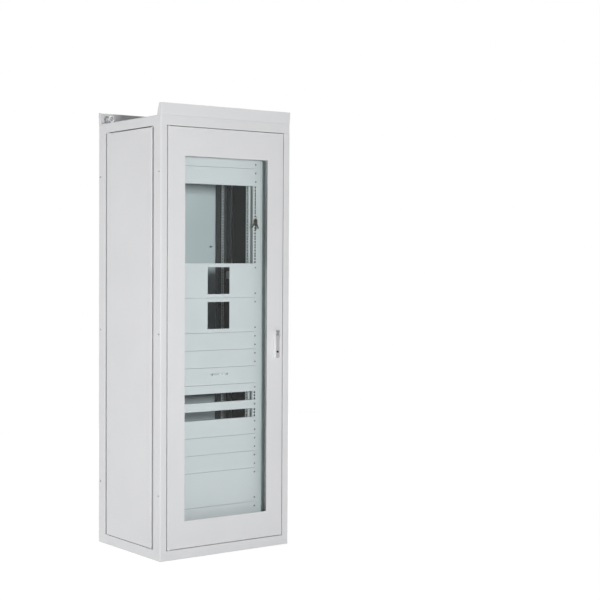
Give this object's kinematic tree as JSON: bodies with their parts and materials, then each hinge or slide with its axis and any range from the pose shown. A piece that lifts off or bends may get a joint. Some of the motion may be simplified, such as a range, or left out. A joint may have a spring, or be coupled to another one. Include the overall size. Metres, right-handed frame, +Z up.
{
  "type": "fiber optic terminal cabinet",
  "caption": "Tall floor-standing sheet-steel equipment cabinet with a glazed swing door, 19-inch rack rails with blank and cut-out panels, a drawer and vented double rear doors.",
  "frame": {"origin": "on the floor, in the middle of the cabinet's footprint", "axes": "+X to the right seen from the front, +Y from the glazed front to the rear doors, +Z up"},
  "size_m": [0.8, 0.6382, 2.26],
  "materials": {
    "cabinet_paint": "satin",
    "rack_paint": "satin",
    "rail_paint": "satin",
    "zinc": "galvanised",
    "bright_steel": "polished",
    "lock_casting": "satin",
    "lock_head": "satin",
    "lock_barrel": "worn",
    "glass": "clear",
    "seal": "matte"
  },
  "bodies": {
    "cabinet": {"base_frame": "cabinet_paint", "top_frame": "cabinet_paint", "post_front_left": "cabinet_paint", "post_front_right": "cabinet_paint", "post_rear_left": "cabinet_paint", "post_rear_right": "cabinet_paint", "side_panel_left": "cabinet_paint", "side_panel_right": "cabinet_paint", "roof_panel": "cabinet_paint", "floor_panel": "cabinet_paint", "header_front": "cabinet_paint", "header_rear": "cabinet_paint", "lifting_eyes": "bright_steel", "rack_rail_front_left": "rail_paint", "rack_rail_front_right": "rail_paint", "rack_rail_rear_left": "rail_paint", "rack_rail_rear_right": "rail_paint", "depth_braces": "cabinet_paint", "rail_brackets": "cabinet_paint", "filler_strip_left": "rail_paint", "filler_strip_right": "rail_paint", "panel_01_blank_2u": "rack_paint", "panel_02_blank_2u": "rack_paint", "panel_03_cutout_4u": "rack_paint", "panel_04_cutout_4u": "rack_paint", "panel_05_blank_2u": "rack_paint", "panel_06_blank_2u": "rack_paint", "panel_07_blank_1u": "rack_paint", "panel_08_blank_1u": "rack_paint", "panel_09_blank_2u": "rack_paint", "panel_10_blank_2u": "rack_paint", "panel_11_blank_2u": "rack_paint", "panel_12_blank_4u": "rack_paint", "panel_13_blank_2u": "rack_paint", "runner_channels": "zinc", "key_ring": "lock_barrel", "door_keys": "lock_barrel", "door_pivot_pins": "bright_steel"},
    "front_door": {"front_door_frame": "cabinet_paint", "front_door_gasket": "seal", "front_door_glass": "glass", "front_glass_clips": "zinc", "front_door_stiffeners": "cabinet_paint", "front_lock_plate": "lock_casting"},
    "front_spindle": {"front_lock_spindle": "lock_head", "front_lock_cam": "zinc"},
    "front_lever": {"front_lock_lever": "lock_casting"},
    "front_key": {"front_key_plug": "lock_barrel"},
    "rear_door_left": {"rear_door_left": "cabinet_paint", "rear_lock_plate": "lock_casting"},
    "rear_door_right": {"rear_door_right": "cabinet_paint"},
    "rear_spindle": {"rear_lock_spindle": "lock_head", "rear_lock_cam": "zinc"},
    "rear_lever": {"rear_lock_lever": "lock_casting"},
    "rear_key": {"rear_key_plug": "lock_barrel"},
    "drawer": {"drawer_front": "rack_paint", "drawer_tray": "rack_paint", "drawer_pull": "bright_steel", "runner_slides": "zinc"}
  },
  "joints": [
    {"name": "front_door_hinge", "type": "hinge", "parent": "cabinet", "child": "front_door", "pos_m": [-0.346, -0.29, 1.1], "axis": [0, 0, -1], "range_deg": [0, 110]},
    {"name": "front_spindle_turn", "type": "hinge", "parent": "front_door", "child": "front_spindle", "pos_m": [0.314, -0.3, 1.108], "axis": [0, 1, 0], "range_deg": [0, 90]},
    {"name": "front_lever_lift", "type": "hinge", "parent": "front_spindle", "child": "front_lever", "pos_m": [0.314, -0.3115, 1.108], "axis": [-1, 0, 0], "range_deg": [0, 35]},
    {"name": "front_key_turn", "type": "hinge", "parent": "front_lever", "child": "front_key", "pos_m": [0.314, -0.3145, 1.016], "axis": [0, 1, 0], "range_deg": [0, 90]},
    {"name": "rear_left_door_hinge", "type": "hinge", "parent": "cabinet", "child": "rear_door_left", "pos_m": [-0.346, 0.29, 1.1], "axis": [0, 0, 1], "range_deg": [0, 110]},
    {"name": "rear_right_door_hinge", "type": "hinge", "parent": "cabinet", "child": "rear_door_right", "pos_m": [0.346, 0.29, 1.1], "axis": [0, 0, -1], "range_deg": [0, 110]},
    {"name": "rear_spindle_turn", "type": "hinge", "parent": "rear_door_left", "child": "rear_spindle", "pos_m": [-0.042, 0.3, 1.108], "axis": [0, 1, 0], "range_deg": [0, 90]},
    {"name": "rear_lever_lift", "type": "hinge", "parent": "rear_spindle", "child": "rear_lever", "pos_m": [-0.042, 0.3115, 1.108], "axis": [1, 0, 0], "range_deg": [0, 35]},
    {"name": "rear_key_turn", "type": "hinge", "parent": "rear_lever", "child": "rear_key", "pos_m": [-0.042, 0.3145, 1.016], "axis": [0, -1, 0], "range_deg": [0, 90]},
    {"name": "drawer_slide", "type": "slide", "parent": "cabinet", "child": "drawer", "axis": [0, -1, 0], "range_m": [0, 0.26]}
  ],
  "couplings": [
    {"joint": "drawer_slide", "follows": "front_door_hinge", "m_per_rad": 0.1354}
  ]
}
